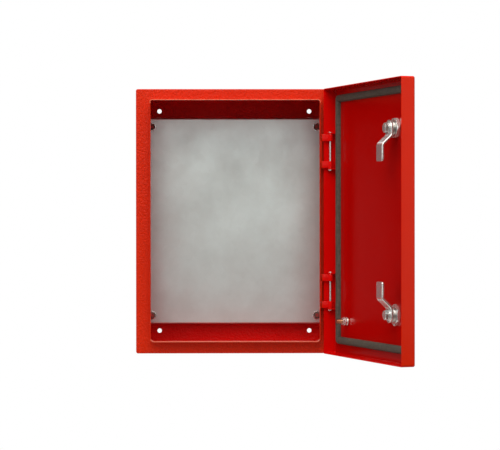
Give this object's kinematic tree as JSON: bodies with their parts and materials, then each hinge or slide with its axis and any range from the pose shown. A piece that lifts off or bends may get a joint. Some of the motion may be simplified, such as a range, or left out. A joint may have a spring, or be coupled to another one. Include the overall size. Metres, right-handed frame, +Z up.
{
  "type": "wall-mounted fire alarm control panel enclosure",
  "caption": "Red sheet-steel wall enclosure for a fire alarm control panel, with a hinged sealed door, quarter-turn cam locks and a removable mounting plate.",
  "frame": {"origin": "centre of the four wall holes on the back face, which lies against the wall", "axes": "+Z up, +Y into the wall, the closed door faces -Y and its hinges are on the +X side"},
  "size_m": [0.3957, 0.4928, 0.4],
  "materials": {
    "red_paint_textured": "textured powder coat, signal red",
    "red_paint_smooth": "satin powder coat, signal red",
    "stud_paint": "thin red powder coat over weld",
    "galvanised_steel": "hot-dip galvanised sheet, faint spangle",
    "zinc_plate": "bright zinc plate",
    "dark_zinc": "dark passivated zinc",
    "zinc_cast": "die-cast zinc, satin",
    "copper_plate": "copper-plated weld stud",
    "foam_seal": "poured polyurethane foam, matt grey",
    "black_rubber": "matt rubber"
  },
  "bodies": {
    "enclosure": {"body_wrap": "red_paint_textured", "rear_panel": "red_paint_textured", "gland_plate": "red_paint_textured", "gland_gasket": "black_rubber", "gland_screws": "zinc_plate", "mounting_plate": "galvanised_steel", "plate_studs": "stud_paint", "plate_washers": "zinc_plate", "plate_nuts": "dark_zinc", "upper_hinge_bracket": "red_paint_smooth", "lower_hinge_bracket": "red_paint_smooth", "upper_hinge_pin": "zinc_plate", "lower_hinge_pin": "zinc_plate", "upper_hinge_clip": "zinc_plate", "lower_hinge_clip": "zinc_plate"},
    "door": {"door_shell": "red_paint_smooth", "door_seal": "foam_seal", "upper_hinge_leaf": "red_paint_smooth", "lower_hinge_leaf": "red_paint_smooth", "upper_lock_housing": "zinc_cast", "upper_lock_seal": "black_rubber", "upper_lock_nut": "zinc_plate", "lower_lock_housing": "zinc_cast", "lower_lock_seal": "black_rubber", "lower_lock_nut": "zinc_plate", "earth_stud": "copper_plate", "earth_washers": "zinc_plate", "earth_nuts": "zinc_plate"},
    "upper_cam_set": {"upper_spindle": "zinc_cast", "upper_cam": "zinc_plate", "upper_cam_washer": "zinc_plate", "upper_cam_bolt": "zinc_plate"},
    "lower_cam_set": {"lower_spindle": "zinc_cast", "lower_cam": "zinc_plate", "lower_cam_washer": "zinc_plate", "lower_cam_bolt": "zinc_plate"}
  },
  "joints": [
    {"name": "door_swing", "type": "hinge", "parent": "enclosure", "child": "door", "pos_m": [0.1434, -0.2111, 0], "axis": [0, 0, 1], "range_deg": [-108, 6]},
    {"name": "upper_lock_turn", "type": "hinge", "parent": "door", "child": "upper_cam_set", "pos_m": [0.21434, -0.43136, 0.1312], "axis": [-0.9511, -0.309, 0], "range_deg": [0, 90]},
    {"name": "lower_lock_turn", "type": "hinge", "parent": "door", "child": "lower_cam_set", "pos_m": [0.21434, -0.43136, -0.1312], "axis": [-0.9511, -0.309, 0], "range_deg": [-90, 0]}
  ]
}
